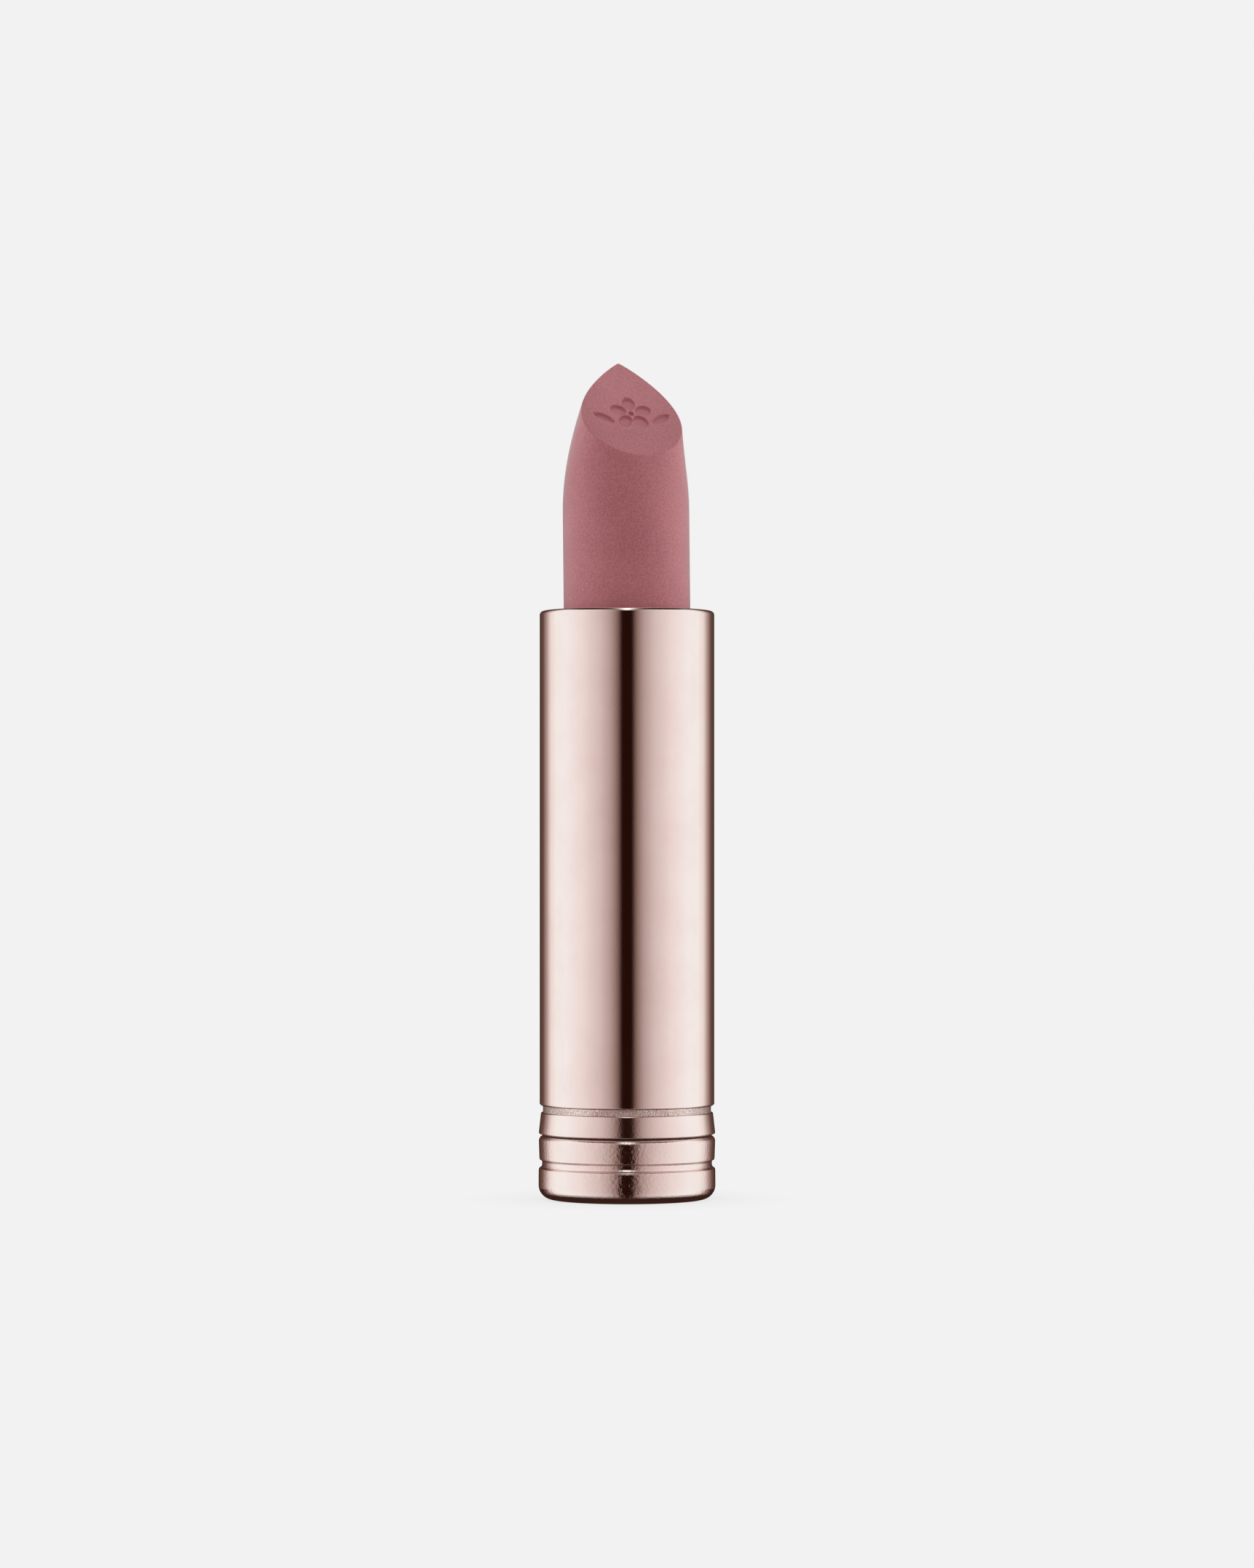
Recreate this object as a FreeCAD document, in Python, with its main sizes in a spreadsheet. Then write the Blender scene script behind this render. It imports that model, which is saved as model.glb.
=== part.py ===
"""Twist-up lipstick cartridge: a turning metal sleeve on a banded base, with a rising cup inside.

Millimetres. +Z is up, the origin is the centre of the underside, and the bullet is wound up.
"""
import FreeCAD, Part
import Sketcher
import math
import os
import re

doc = FreeCAD.newDocument("lipstick_cartridge")
UPWARD = FreeCAD.Vector(0, 0, 1)
RIB_COUNT = 4
SAME_PLACE = 0.005

# ---------------------------------------------------------------- driving dimensions
SIZES = {
    # bullet: a straight stick that narrows to a leaf-shaped slanted face
    "bullet_radius": 6.05,
    "bullet_bottom": 44.05,
    "bullet_lean": 0.0103,
    "taper_start": 65.88,
    "taper_tilt_side": 0.2,
    "taper_tilt_front": 0.15,
    "taper_rise": 0.35,
    "taper_swell": 0.25,
    "taper_swell_side": 0.16,
    "taper_swell_back": 0.38,
    "tip_height": 80.15,
    "tip_offset": 2.04,
    "face_turn": 17.06,
    "face_slope": 49.4,
    "face_run": 8.14,
    "face_half_width": 4.84,
    "face_bow": 0.28,
    "face_power": 1.15,
    "face_shoulder": 0.128,
    "face_twist": 0.124,
    # cup that carries the bullet
    "cup_inner_radius": 6.07,
    "cup_outer_radius": 6.38,
    "cup_bottom": 43.2,
    "cup_floor": 0.8,
    "cup_height": 11.5,
    "lug_radius": 1.0,
    "lug_reach": 7.55,
    "lug_height": 44.6,
    "rib_width": 0.5,
    "rib_depth": 0.45,
    "rib_height": 6.5,
    "rib_gap": 0.03,
    # travel of the cup and the helix that drives it
    "travel_down": 25.5,
    "travel_up": 1.5,
    "cam_lead": 18.0,
    "cam_clearance": 0.1,
    # outer sleeve
    "sleeve_radius": 8.35,
    "sleeve_inner_radius": 7.92,
    "sleeve_bottom": 9.07,
    "sleeve_top": 56.2,
    "lip_radius": 6.5,
    "lip_thickness": 0.4,
    "sleeve_top_round": 0.4,
    "sleeve_bottom_round": 0.15,
    # cam sleeve
    "cam_outer_radius": 7.9,
    "cam_inner_radius": 7.1,
    "cam_groove_radius": 7.65,
    "cam_groove_height": 2.36,
    "cam_groove_start": 17.3,
    "cam_bottom": 13.3,
    "cam_top": 55.75,
    # guide tube
    "guide_outer_radius": 7.02,
    "guide_inner_radius": 6.48,
    "guide_bottom": 0.75,
    "guide_top": 55.6,
    "bead_radius": 7.3,
    "bead_height": 15.2,
    "bead_size": 0.3,
    "bead_recess_radius": 7.42,
    "bead_recess_size": 0.9,
    # base shell
    "shell_wall": 0.4,
    "foot_radius": 8.47,
    "foot_round": 1.3,
    "foot_band_top": 3.05,
    "groove_radius": 8.12,
    "groove_bottom": 3.3,
    "groove_top": 3.72,
    "upper_band_bottom": 4.02,
    "upper_band_radius": 8.38,
    "shell_radius": 8.46,
    "shell_top": 6.12,
    "band_round": 0.2,
    "shell_top_round": 0.3,
    "label_recess_radius": 6.3,
    "label_recess_depth": 0.3,
    "label_radius": 6.2,
    "label_thickness": 0.2,
    # snap collar
    "collar_top": 8.31,
    "collar_top_radius": 8.2,
    "collar_radius": 8.475,
    "collar_wall": 0.4,
    "collar_lip_radius": 7.8,
    "collar_round": 0.12,
    # glide ring
    "glide_radius": 8.06,
    "glide_waist": 7.98,
    "glide_inner_radius": 7.78,
    "glide_top": 9.0,
    # base insert
    "insert_bore": 7.04,
    "insert_radius": 7.69,
    "insert_shoulder_radius": 7.98,
    "insert_shoulder": 4.6,
    "insert_neck": 7.85,
    "spigot_radius": 7.75,
    "spigot_top": 13.0,
    "ring_groove_radius": 7.28,
    "ring_groove_size": 0.7,
    # brake ring
    "brake_height": 11.0,
    "brake_centre_radius": 7.6,
    "brake_section": 0.3,
    # base weight
    "weight_radius": 6.46,
    "weight_top": 14.0,
}

sheet = doc.addObject("Spreadsheet::Sheet", "sizes")
for row, (alias, size) in enumerate(SIZES.items(), start=1):
    sheet.set("A%d" % row, alias)
    sheet.set("B%d" % row, str(size))
    sheet.setAlias("B%d" % row, alias)
doc.recompute()


def cell(expression):
    """Writes the sheet's own name before every alias in an expression."""
    return re.sub(r"[a-z_]+", lambda word: "sizes." + word[0], expression)


def value(expression):
    """Gives the present value of an expression of sheet aliases."""
    return float(sheet.evalExpression(expression))


def origin_plane(body, role):
    """Finds one of a body's own origin planes."""
    for feature in body.Origin.OriginFeatures:
        if feature.Role == role:
            return feature
    raise ValueError(role)


def new_sketch(body, name, role):
    """Adds a sketch on one of the body's origin planes."""
    sketch = body.newObject("Sketcher::SketchObject", name)
    sketch.AttachmentSupport = [(origin_plane(body, role), "")]
    sketch.MapMode = "FlatFace"
    return sketch


def pin_point(sketch, edge, end, axis, expression):
    """Holds one coordinate of a sketch point at a sheet expression."""
    if expression == "0":
        line = -2 if axis == "DistanceX" else -1
        sketch.addConstraint(Sketcher.Constraint("PointOnObject", edge, end, line))
        return
    point = sketch.getPoint(edge, end)
    place = point.x if axis == "DistanceX" else point.y
    index = sketch.addConstraint(Sketcher.Constraint(axis, -1, 1, edge, end, place))
    sketch.setExpression("Constraints[%d]" % index, cell(expression))


def outline(sketch, corners):
    """Draws a closed outline through corners given as pairs of sheet expressions."""
    places = [FreeCAD.Vector(value(across), value(up), 0) for across, up in corners]
    count = len(places)
    for index in range(count):
        sketch.addGeometry(Part.LineSegment(places[index], places[(index + 1) % count]), False)
    for index in range(count):
        joint = Sketcher.Constraint("Coincident", index, 2, (index + 1) % count, 1)
        sketch.addConstraint(joint)
    for index, (across, up) in enumerate(corners):
        pin_point(sketch, index, 1, "DistanceX", across)
        pin_point(sketch, index, 1, "DistanceY", up)


def turned_body(label, corners, role="XZ_Plane"):
    """Makes a body by turning an outline of (radius, height) corners about the Z axis."""
    body = doc.addObject("PartDesign::Body", label)
    body.Label = label
    sketch = new_sketch(body, label + "_section", role)
    outline(sketch, corners)
    turn = body.newObject("PartDesign::Revolution", label + "_turned")
    turn.Profile = sketch
    turn.ReferenceAxis = (sketch, ["V_Axis"])
    turn.Angle = 360
    doc.recompute()
    return body


def ring_edges(shape, places):
    """Names the circular edges that lie at the given (radius, height) pairs."""
    names = []
    for radius, height in places:
        for index, edge in enumerate(shape.Edges, start=1):
            if not isinstance(edge.Curve, Part.Circle):
                continue
            same_height = abs(edge.Curve.Center.z - height) < SAME_PLACE
            if same_height and abs(edge.Curve.Radius - radius) < SAME_PLACE:
                names.append("Edge%d" % index)
    return names


def round_rings(body, name, places, rounding):
    """Rounds circular edges of a body. Places and rounding are sheet expressions."""
    places = [(value(across), value(up)) for across, up in places]
    sharp = body.Tip
    fillet = body.newObject("PartDesign::Fillet", name)
    fillet.Base = (sharp, ring_edges(sharp.Shape, places))
    fillet.setExpression("Radius", cell(rounding))
    doc.recompute()


pieces = []

# ---------------------------------------------------------------- base shell
# A drawn aluminium cup: rounded foot, lower band, pressed groove and upper band. The wall keeps
# its thickness, so the inside follows the outside. The underside has a shallow label recess.
shell = turned_body("base_shell", [
    ("0", "label_recess_depth"),
    ("label_recess_radius", "label_recess_depth"),
    ("label_recess_radius", "0"),
    ("foot_radius", "0"),
    ("foot_radius", "foot_band_top"),
    ("groove_radius", "groove_bottom"),
    ("groove_radius", "groove_top"),
    ("upper_band_radius", "upper_band_bottom"),
    ("shell_radius", "shell_top"),
    ("shell_radius - shell_wall", "shell_top"),
    ("upper_band_radius - shell_wall", "upper_band_bottom + shell_wall / 2"),
    ("groove_radius - shell_wall", "groove_top + shell_wall / 4"),
    ("groove_radius - shell_wall", "groove_bottom - shell_wall / 4"),
    ("foot_radius - shell_wall", "foot_band_top - shell_wall / 2"),
    ("foot_radius - shell_wall", "shell_wall"),
    ("label_recess_radius + shell_wall", "shell_wall"),
    ("label_recess_radius + shell_wall", "label_recess_depth + shell_wall"),
    ("0", "label_recess_depth + shell_wall"),
])
round_rings(shell, "foot_inside_rounding", [
    ("foot_radius - shell_wall", "shell_wall"),
], "foot_round - shell_wall")
round_rings(shell, "foot_rounding", [("foot_radius", "0")], "foot_round")
round_rings(shell, "band_rounding", [
    ("foot_radius", "foot_band_top"),
    ("upper_band_radius", "upper_band_bottom"),
], "band_round")
round_rings(shell, "mouth_rounding", [("shell_radius", "shell_top")], "shell_top_round")
pieces.append(shell)

# ---------------------------------------------------------------- foot label
# A blank disc in the recess of the underside, clear of what the foot stands on.
label = turned_body("foot_label", [
    ("0", "label_recess_depth - label_thickness"),
    ("label_radius", "label_recess_depth - label_thickness"),
    ("label_radius", "label_recess_depth"),
    ("0", "label_recess_depth"),
])
pieces.append(label)

# ---------------------------------------------------------------- snap collar
# A flared ring pressed over the core. It stands on the shell's mouth, and its in-turned top
# carries the glide ring.
collar = turned_body("snap_collar", [
    ("collar_radius - collar_wall", "shell_top"),
    ("collar_radius", "shell_top"),
    ("collar_top_radius", "collar_top"),
    ("collar_lip_radius", "collar_top"),
    ("collar_lip_radius", "collar_top - collar_wall"),
    ("collar_top_radius - collar_wall", "collar_top - collar_wall"),
])
round_rings(collar, "collar_rounding", [
    ("collar_radius", "shell_top"),
    ("collar_top_radius", "collar_top"),
], "collar_round")
pieces.append(collar)

# ---------------------------------------------------------------- glide ring
# The waisted spacer that shows in the neck. The sleeve's lower edge runs just above it.
glide = turned_body("glide_ring", [
    ("glide_inner_radius", "collar_top"),
    ("glide_radius", "collar_top"),
    ("glide_waist", "collar_top + (glide_top - collar_top) * 0.45"),
    ("glide_radius", "glide_top"),
    ("glide_inner_radius", "glide_top"),
])
pieces.append(glide)

# ---------------------------------------------------------------- base insert
# The moulded core. Its foot fills the shell, its shoulder fills the upper band, and its spigot
# stands inside the sleeve with a groove for the brake ring.
insert = turned_body("base_insert", [
    ("insert_bore", "guide_bottom"),
    ("insert_radius", "guide_bottom"),
    ("insert_radius", "insert_shoulder"),
    ("insert_shoulder_radius", "insert_shoulder"),
    ("insert_shoulder_radius", "shell_top"),
    ("spigot_radius", "insert_neck"),
    ("spigot_radius", "brake_height - ring_groove_size / 2"),
    ("ring_groove_radius", "brake_height - ring_groove_size / 2"),
    ("ring_groove_radius", "brake_height + ring_groove_size / 2"),
    ("spigot_radius", "brake_height + ring_groove_size / 2"),
    ("spigot_radius", "spigot_top"),
    ("insert_bore", "spigot_top"),
])
pieces.append(insert)

# ---------------------------------------------------------------- brake ring
# A soft ring in the spigot's groove that drags on the sleeve's inner wall.
brake = doc.addObject("Part::Torus", "brake_o_ring")
brake.Label = "brake_o_ring"
brake.setExpression("Radius1", cell("brake_centre_radius"))
brake.setExpression("Radius2", cell("brake_section"))
brake.setExpression("Placement.Base.z", cell("brake_height"))
pieces.append(brake)

# ---------------------------------------------------------------- base weight
# A steel slug inside the foot of the guide tube.
weight = turned_body("base_weight", [
    ("0", "guide_bottom"),
    ("weight_radius", "guide_bottom"),
    ("weight_radius", "weight_top"),
    ("0", "weight_top"),
])
pieces.append(weight)

# ---------------------------------------------------------------- guide tube
# Fixed in the core. A bead near its foot snaps into the cam sleeve and holds the sleeve down.
# Two upright slots let the cup's lugs through and keep the cup from turning.
guide = turned_body("guide_tube", [
    ("guide_inner_radius", "guide_bottom"),
    ("guide_outer_radius", "guide_bottom"),
    ("guide_outer_radius", "bead_height - bead_size"),
    ("bead_radius", "bead_height"),
    ("guide_outer_radius", "bead_height + bead_size"),
    ("guide_outer_radius", "guide_top"),
    ("guide_inner_radius", "guide_top"),
])
slot = new_sketch(guide, "guide_slot", "YZ_Plane")
outline(slot, [
    ("-lug_radius - cam_clearance", "lug_height - travel_down - lug_radius - cam_clearance"),
    ("lug_radius + cam_clearance", "lug_height - travel_down - lug_radius - cam_clearance"),
    ("lug_radius + cam_clearance", "lug_height + travel_up + lug_radius + cam_clearance"),
    ("-lug_radius - cam_clearance", "lug_height + travel_up + lug_radius + cam_clearance"),
])
slot_cut = guide.newObject("PartDesign::Pocket", "guide_slots")
slot_cut.Profile = slot
slot_cut.Type = 1
slot_cut.Midplane = True
doc.recompute()
pieces.append(guide)

# ---------------------------------------------------------------- carrier cup
# A thin cup with two round lugs that pass through the guide tube, and four ribs that bite the
# pomade. The lugs are one bar first, and the bore then clears its middle.
cup = turned_body("carrier_cup", [
    ("0", "cup_bottom"),
    ("cup_outer_radius", "cup_bottom"),
    ("cup_outer_radius", "cup_bottom + cup_height"),
    ("0", "cup_bottom + cup_height"),
])
lug = new_sketch(cup, "lug_section", "YZ_Plane")
lug_middle = FreeCAD.Vector(0, value("lug_height"), 0)
lug.addGeometry(Part.Circle(lug_middle, UPWARD, value("lug_radius")), False)
lug.addConstraint(Sketcher.Constraint("Radius", 0, value("lug_radius")))
lug.setExpression("Constraints[0]", cell("lug_radius"))
pin_point(lug, 0, 3, "DistanceX", "0")
pin_point(lug, 0, 3, "DistanceY", "lug_height")
bar = cup.newObject("PartDesign::Pad", "lug_bar")
bar.Profile = lug
bar.Midplane = True
bar.setExpression("Length", cell("lug_reach * 2"))
doc.recompute()
bore = new_sketch(cup, "cup_bore", "XZ_Plane")
outline(bore, [
    ("0", "cup_bottom + cup_floor"),
    ("cup_inner_radius", "cup_bottom + cup_floor"),
    ("cup_inner_radius", "cup_bottom + cup_height"),
    ("0", "cup_bottom + cup_height"),
])
hollow = cup.newObject("PartDesign::Groove", "cup_hollow")
hollow.Profile = bore
hollow.ReferenceAxis = (bore, ["V_Axis"])
hollow.Angle = 360
rib_section = new_sketch(cup, "rib_section", "XY_Plane")
rib_section.setExpression("AttachmentOffset.Base.z", cell("cup_bottom + cup_floor"))
doc.recompute()
outline(rib_section, [
    ("cup_inner_radius - rib_depth", "-rib_width / 2"),
    ("cup_inner_radius + rib_gap", "-rib_width / 2"),
    ("cup_inner_radius + rib_gap", "rib_width / 2"),
    ("cup_inner_radius - rib_depth", "rib_width / 2"),
])
rib = cup.newObject("PartDesign::Pad", "rib")
rib.Profile = rib_section
rib.setExpression("Length", cell("rib_height"))
doc.recompute()
ribs = cup.newObject("PartDesign::PolarPattern", "ribs")
ribs.Originals = [rib]
ribs.Axis = (rib_section, ["N_Axis"])
ribs.Angle = 360
ribs.Occurrences = RIB_COUNT
cup.Tip = ribs
doc.recompute()
pieces.append(cup)

# ---------------------------------------------------------------- outer sleeve
# Deep-drawn aluminium with its mouth turned in around the bullet.
sleeve = turned_body("outer_sleeve", [
    ("sleeve_inner_radius", "sleeve_bottom"),
    ("sleeve_radius", "sleeve_bottom"),
    ("sleeve_radius", "sleeve_top"),
    ("lip_radius", "sleeve_top"),
    ("lip_radius", "sleeve_top - lip_thickness"),
    ("sleeve_inner_radius", "sleeve_top - lip_thickness"),
])
round_rings(sleeve, "rim_rounding", [("sleeve_radius", "sleeve_top")], "sleeve_top_round")
round_rings(sleeve, "hem_rounding", [("sleeve_radius", "sleeve_bottom")], "sleeve_bottom_round")
pieces.append(sleeve)

# ---------------------------------------------------------------- cam sleeve
# A moulded liner fixed in the outer sleeve. Two right-hand helical grooves, half a turn apart,
# drive the cup's lugs, and a recess near its foot takes the guide tube's bead.
liner = turned_body("cam_liner", [
    ("cam_inner_radius", "cam_bottom"),
    ("cam_outer_radius", "cam_bottom"),
    ("cam_outer_radius", "cam_top"),
    ("cam_inner_radius", "cam_top"),
    ("cam_inner_radius", "bead_height + bead_recess_size"),
    ("bead_recess_radius", "bead_height + bead_recess_size / 2"),
    ("bead_recess_radius", "bead_height - bead_recess_size / 2"),
    ("cam_inner_radius", "bead_height - bead_recess_size"),
], role="YZ_Plane")

groove_section = doc.addObject("Sketcher::SketchObject", "cam_groove_section")
groove_section.Placement = FreeCAD.Placement(
    FreeCAD.Vector(), FreeCAD.Rotation(FreeCAD.Vector(1, 0, 0), 90))
outline(groove_section, [
    ("guide_inner_radius", "-cam_groove_height / 2"),
    ("cam_groove_radius", "-cam_groove_height / 2"),
    ("cam_groove_radius", "cam_groove_height / 2"),
    ("guide_inner_radius", "cam_groove_height / 2"),
])
helix = doc.addObject("Part::Helix", "cam_helix")
helix.setExpression("Pitch", cell("cam_lead"))
helix.setExpression("Height", cell("cam_top + cam_groove_height - cam_groove_start"))
helix.setExpression("Radius", cell("cam_groove_radius"))
doc.recompute()
cut_liner = liner
for start, turned_by in (("first", 0), ("second", 180)):
    groove = doc.addObject("Part::Sweep", "cam_groove_" + start)
    groove.Sections = [groove_section]
    groove.Spine = (helix, ["Edge1"])
    groove.Solid = True
    groove.Frenet = True
    groove.setExpression("Placement.Base.z", cell("cam_groove_start"))
    turn = "(cam_groove_start - lug_height) / cam_lead * 360 + %d" % turned_by
    groove.setExpression("Placement.Rotation.Angle", cell(turn))
    liner_cut = doc.addObject("Part::Cut", "cam_liner_" + start)
    liner_cut.Base = cut_liner
    liner_cut.Tool = groove
    doc.recompute()
    cut_liner = liner_cut
cut_liner.Label = "cam_sleeve"
pieces.append(cut_liner)

# ---------------------------------------------------------------- lipstick bullet
# A moulded stick. From the rim of the sleeve it leans by a hair, then it narrows from a circle to
# the leaf-shaped outline of a slanted flat face. Each section of the taper is a closed curve
# through points worked out by the two functions below.
SECTION_POINTS = 60
TAPER_STEPS = 8


def leaned(across, depth, height):
    """Places a point of the stick, leaned sideways in step with its height above the rim."""
    above_rim = max(0.0, height - value("sleeve_top"))
    return FreeCAD.Vector(across - value("bullet_lean") * above_rim, depth, height)


def circle_point(angle, height):
    """A point of the round stick. The angle is measured from the way the face looks."""
    direction = math.radians(value("face_turn")) + angle - value("face_twist") * math.sin(angle)
    across = value("bullet_radius") * math.sin(direction)
    depth = -value("bullet_radius") * math.cos(direction)
    return leaned(across, depth, height)


def face_point(angle):
    """A point of the leaf: a pointed tip at half a turn, a round lower end at no turn.

    The run down the slope is the face's length times a power of cos(angle / 2), and the width
    goes as sin(angle), a little fuller towards the tip and bowed to one side.
    """
    length = value("face_run")
    run = length * abs(math.cos(angle / 2)) ** value("face_power")
    fuller = 1 - value("face_shoulder") * math.cos(angle)
    bow = value("face_bow") * math.sin(math.pi * run / length)
    width = value("face_half_width") * math.sin(angle) * fuller - bow
    turn = math.radians(value("face_turn"))
    forward = run - value("tip_offset")
    across = forward * math.sin(turn) + width * math.cos(turn)
    depth = -forward * math.cos(turn) + width * math.sin(turn)
    fall = run * math.tan(math.radians(value("face_slope")))
    return leaned(across, depth, value("tip_height") - fall)


def taper_point(angle, share):
    """A point of the taper: a cubic curve from the stick's circle up to the leaf's edge.

    The curve leaves the stick upright, and swells most at the back, behind the tip.
    """
    tilt = value("taper_tilt_side") * math.sin(angle) + value("taper_tilt_front") * math.cos(angle)
    foot = circle_point(angle, value("taper_start") + tilt)
    edge = face_point(angle)
    rise = edge.z - foot.z
    behind = value("taper_swell_back") * (1 - math.cos(angle)) / 2
    swell = value("taper_swell") + behind - value("taper_swell_side") * math.sin(angle)
    lean = -value("bullet_lean")
    lower = foot + FreeCAD.Vector(lean, 0, 1) * (value("taper_rise") * rise)
    outward = FreeCAD.Vector(foot.x - edge.x, foot.y - edge.y, 0)
    upper = edge + outward * swell - UPWARD * (rise / 3)
    left = 1 - share
    start = foot * left ** 3 + lower * (3 * left ** 2 * share)
    return start + upper * (3 * left * share ** 2) + edge * share ** 3


def closed_curve(points):
    """A smooth closed wire that starts and ends at the tip's side."""
    curve = Part.BSplineCurve()
    curve.interpolate(points + points[:1])
    return Part.Wire(curve.toShape())


def section(place):
    """The wire of one section, from the tip's side round to it again."""
    angles = [2 * math.pi * step / SECTION_POINTS - math.pi for step in range(SECTION_POINTS)]
    return closed_curve([place(angle) for angle in angles])


sections = [
    section(lambda angle: circle_point(angle, value("bullet_bottom"))),
    section(lambda angle: circle_point(angle, value("sleeve_top"))),
]
for step in range(TAPER_STEPS + 1):
    sections.append(section(lambda angle: taper_point(angle, step / TAPER_STEPS)))
stick = Part.makeLoft(sections, True, True)
rib_room = value("rib_gap")
for number in range(RIB_COUNT):
    wide = value("rib_width") + 2 * rib_room
    deep = value("rib_depth") + 2 * rib_room
    corner = FreeCAD.Vector(value("cup_inner_radius") - deep + rib_room, -wide / 2, 0)
    high = value("rib_height + cup_bottom + cup_floor") + rib_room
    notch = Part.makeBox(deep, wide, high, corner)
    notch.rotate(FreeCAD.Vector(), UPWARD, 360 * number / RIB_COUNT)
    stick = stick.cut(notch)
bullet = doc.addObject("Part::Feature", "lipstick_bullet")
bullet.Label = "lipstick_bullet"
bullet.Shape = stick
bullet.Placement = FreeCAD.Placement()
pieces.append(bullet)

# ---------------------------------------------------------------- checks and files
doc.recompute()
for item in doc.Objects:
    if "Invalid" in item.State or "Error" in item.State:
        raise RuntimeError("%s failed to recompute: %s" % (item.Label, item.State))
for piece in pieces:
    shape = piece.Shape
    if shape.isNull() or not shape.isValid() or len(shape.Solids) != 1:
        raise RuntimeError("%s has no single valid solid" % piece.Label)
    box = shape.optimalBoundingBox()
    spread = (piece.Label, shape.Volume, box.ZMin, box.ZMax, box.XMax)
    print("%-16s volume %8.2f mm3, height %6.2f to %6.2f, reach %5.2f" % spread)
os.makedirs("parts", exist_ok=True)
for piece in pieces:
    piece.Shape.exportStep("parts/%s.step" % piece.Label)
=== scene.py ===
# %% [markdown]
# # A twist-up lipstick cartridge
#
# The object is a turning metal sleeve on a banded base, with a mauve bullet wound up out of it.
# The sizes and the joints are fixed already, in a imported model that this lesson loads. Each part
# of the lesson makes one visible piece as a surface worked out with numpy, or one finish as a
# node material, and puts it on the body that it moves with.

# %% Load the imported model
import math

import bpy
import numpy as np
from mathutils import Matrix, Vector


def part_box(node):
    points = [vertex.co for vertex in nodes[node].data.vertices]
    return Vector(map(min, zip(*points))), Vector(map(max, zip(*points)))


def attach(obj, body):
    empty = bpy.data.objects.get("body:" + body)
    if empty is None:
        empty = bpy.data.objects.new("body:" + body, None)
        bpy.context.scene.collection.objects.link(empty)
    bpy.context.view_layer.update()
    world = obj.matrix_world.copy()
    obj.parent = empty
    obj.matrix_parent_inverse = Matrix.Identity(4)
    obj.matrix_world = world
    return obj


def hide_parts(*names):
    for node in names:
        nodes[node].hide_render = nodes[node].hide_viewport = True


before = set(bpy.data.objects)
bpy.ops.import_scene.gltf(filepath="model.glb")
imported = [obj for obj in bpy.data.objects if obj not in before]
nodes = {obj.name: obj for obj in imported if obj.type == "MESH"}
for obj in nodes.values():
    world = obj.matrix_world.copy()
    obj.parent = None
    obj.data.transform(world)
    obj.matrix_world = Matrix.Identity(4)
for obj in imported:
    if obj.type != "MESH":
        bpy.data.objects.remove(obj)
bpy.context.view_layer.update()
MM = 0.001

# %% [markdown]
# ## Sizes read from the frame
#
# A lathe-turned piece needs radii and heights. They could be typed in, but then they would drift
# from the model. Reading each node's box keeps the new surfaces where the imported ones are.


# %% Radius and heights of a node
def reach(node):
    """Gives a node's outer radius, bottom and top in millimetres.

    The radius is half the width of the node's box, and the other two are the box's z range.
    """
    low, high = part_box(node)
    return (high.x - low.x) / 2 / MM, low.z / MM, high.z / MM


SLEEVE_RADIUS, SLEEVE_BOTTOM, SLEEVE_TOP = reach("outer_sleeve")
SHELL_RADIUS, SHELL_BOTTOM, SHELL_TOP = reach("base_shell")
COLLAR_RADIUS, COLLAR_BOTTOM, COLLAR_TOP = reach("snap_collar")
GLIDE_RADIUS, GLIDE_BOTTOM, GLIDE_TOP = reach("glide_ring")
_, BULLET_BOTTOM, BULLET_TOP = reach("lipstick_bullet")
print(f"sleeve {SLEEVE_RADIUS:.2f} mm radius, rim at {SLEEVE_TOP:.2f} mm")

# %% [markdown]
# ## A grid of points becomes a mesh
#
# Every new piece here is a grid: rows along its outline, columns around its axis. Blender's own
# primitives would leave the same faces, but a grid worked out in one array keeps every rounding
# at its real radius, and it can be closed without stray faces.


# %% Mesh from a grid
def grid_faces(rows, columns, closed_rows):
    """Joins a grid that is closed around its columns into quads.

    Point (i, j) has number i * columns + j, and each quad joins (i, j), (i, j + 1),
    (i + 1, j + 1) and (i + 1, j). With closed_rows, the last row joins the first.
    """
    row = np.arange(rows if closed_rows else rows - 1)[:, None]
    column = np.arange(columns)[None, :]
    above = (row + 1) % rows
    beside = (column + 1) % columns
    corners = [row * columns + column, row * columns + beside]
    corners += [above * columns + beside, above * columns + column]
    return np.stack([np.broadcast_to(c, (len(row), columns)) for c in corners], -1).reshape(-1, 4)


def pole_fans(rows, columns):
    """Closes the first and the last row of a grid with triangles round two poles.

    The poles are the two points after the grid's own, numbers rows * columns and one more.
    """
    column = np.arange(columns)
    beside = (column + 1) % columns
    last = (rows - 1) * columns
    first_fan = np.stack([np.full(columns, rows * columns), beside, column], -1)
    last_fan = np.stack([np.full(columns, rows * columns + 1), last + column, last + beside], -1)
    return np.concatenate([first_fan, last_fan])


def add_to_scene(name, content):
    """Makes an object of a mesh, a lamp or a lens, and puts it into the scene."""
    added = bpy.data.objects.new(name, content)
    bpy.context.scene.collection.objects.link(added)
    return added


def smooth_piece(name, points, quads, triangles=None):
    """Puts points, quads and triangles into a new smooth-shaded mesh object at the origin."""
    faces = quads.tolist() + ([] if triangles is None else triangles.tolist())
    mesh = bpy.data.meshes.new(name)
    mesh.from_pydata(points.tolist(), [], faces)
    mesh.polygons.foreach_set("use_smooth", np.ones(len(faces), bool))
    mesh.update()
    print(f"{name}: {len(points)} points, {len(faces)} faces")
    return add_to_scene(name, mesh)


# %% [markdown]
# ## Rounded outlines
#
# Drawn and turned metal has no sharp corner: each one is a small arc, and the arc is what catches
# the light. A Bevel modifier would round them too, but it rounds all corners alike. Here each
# corner of the outline carries its own radius.


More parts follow.
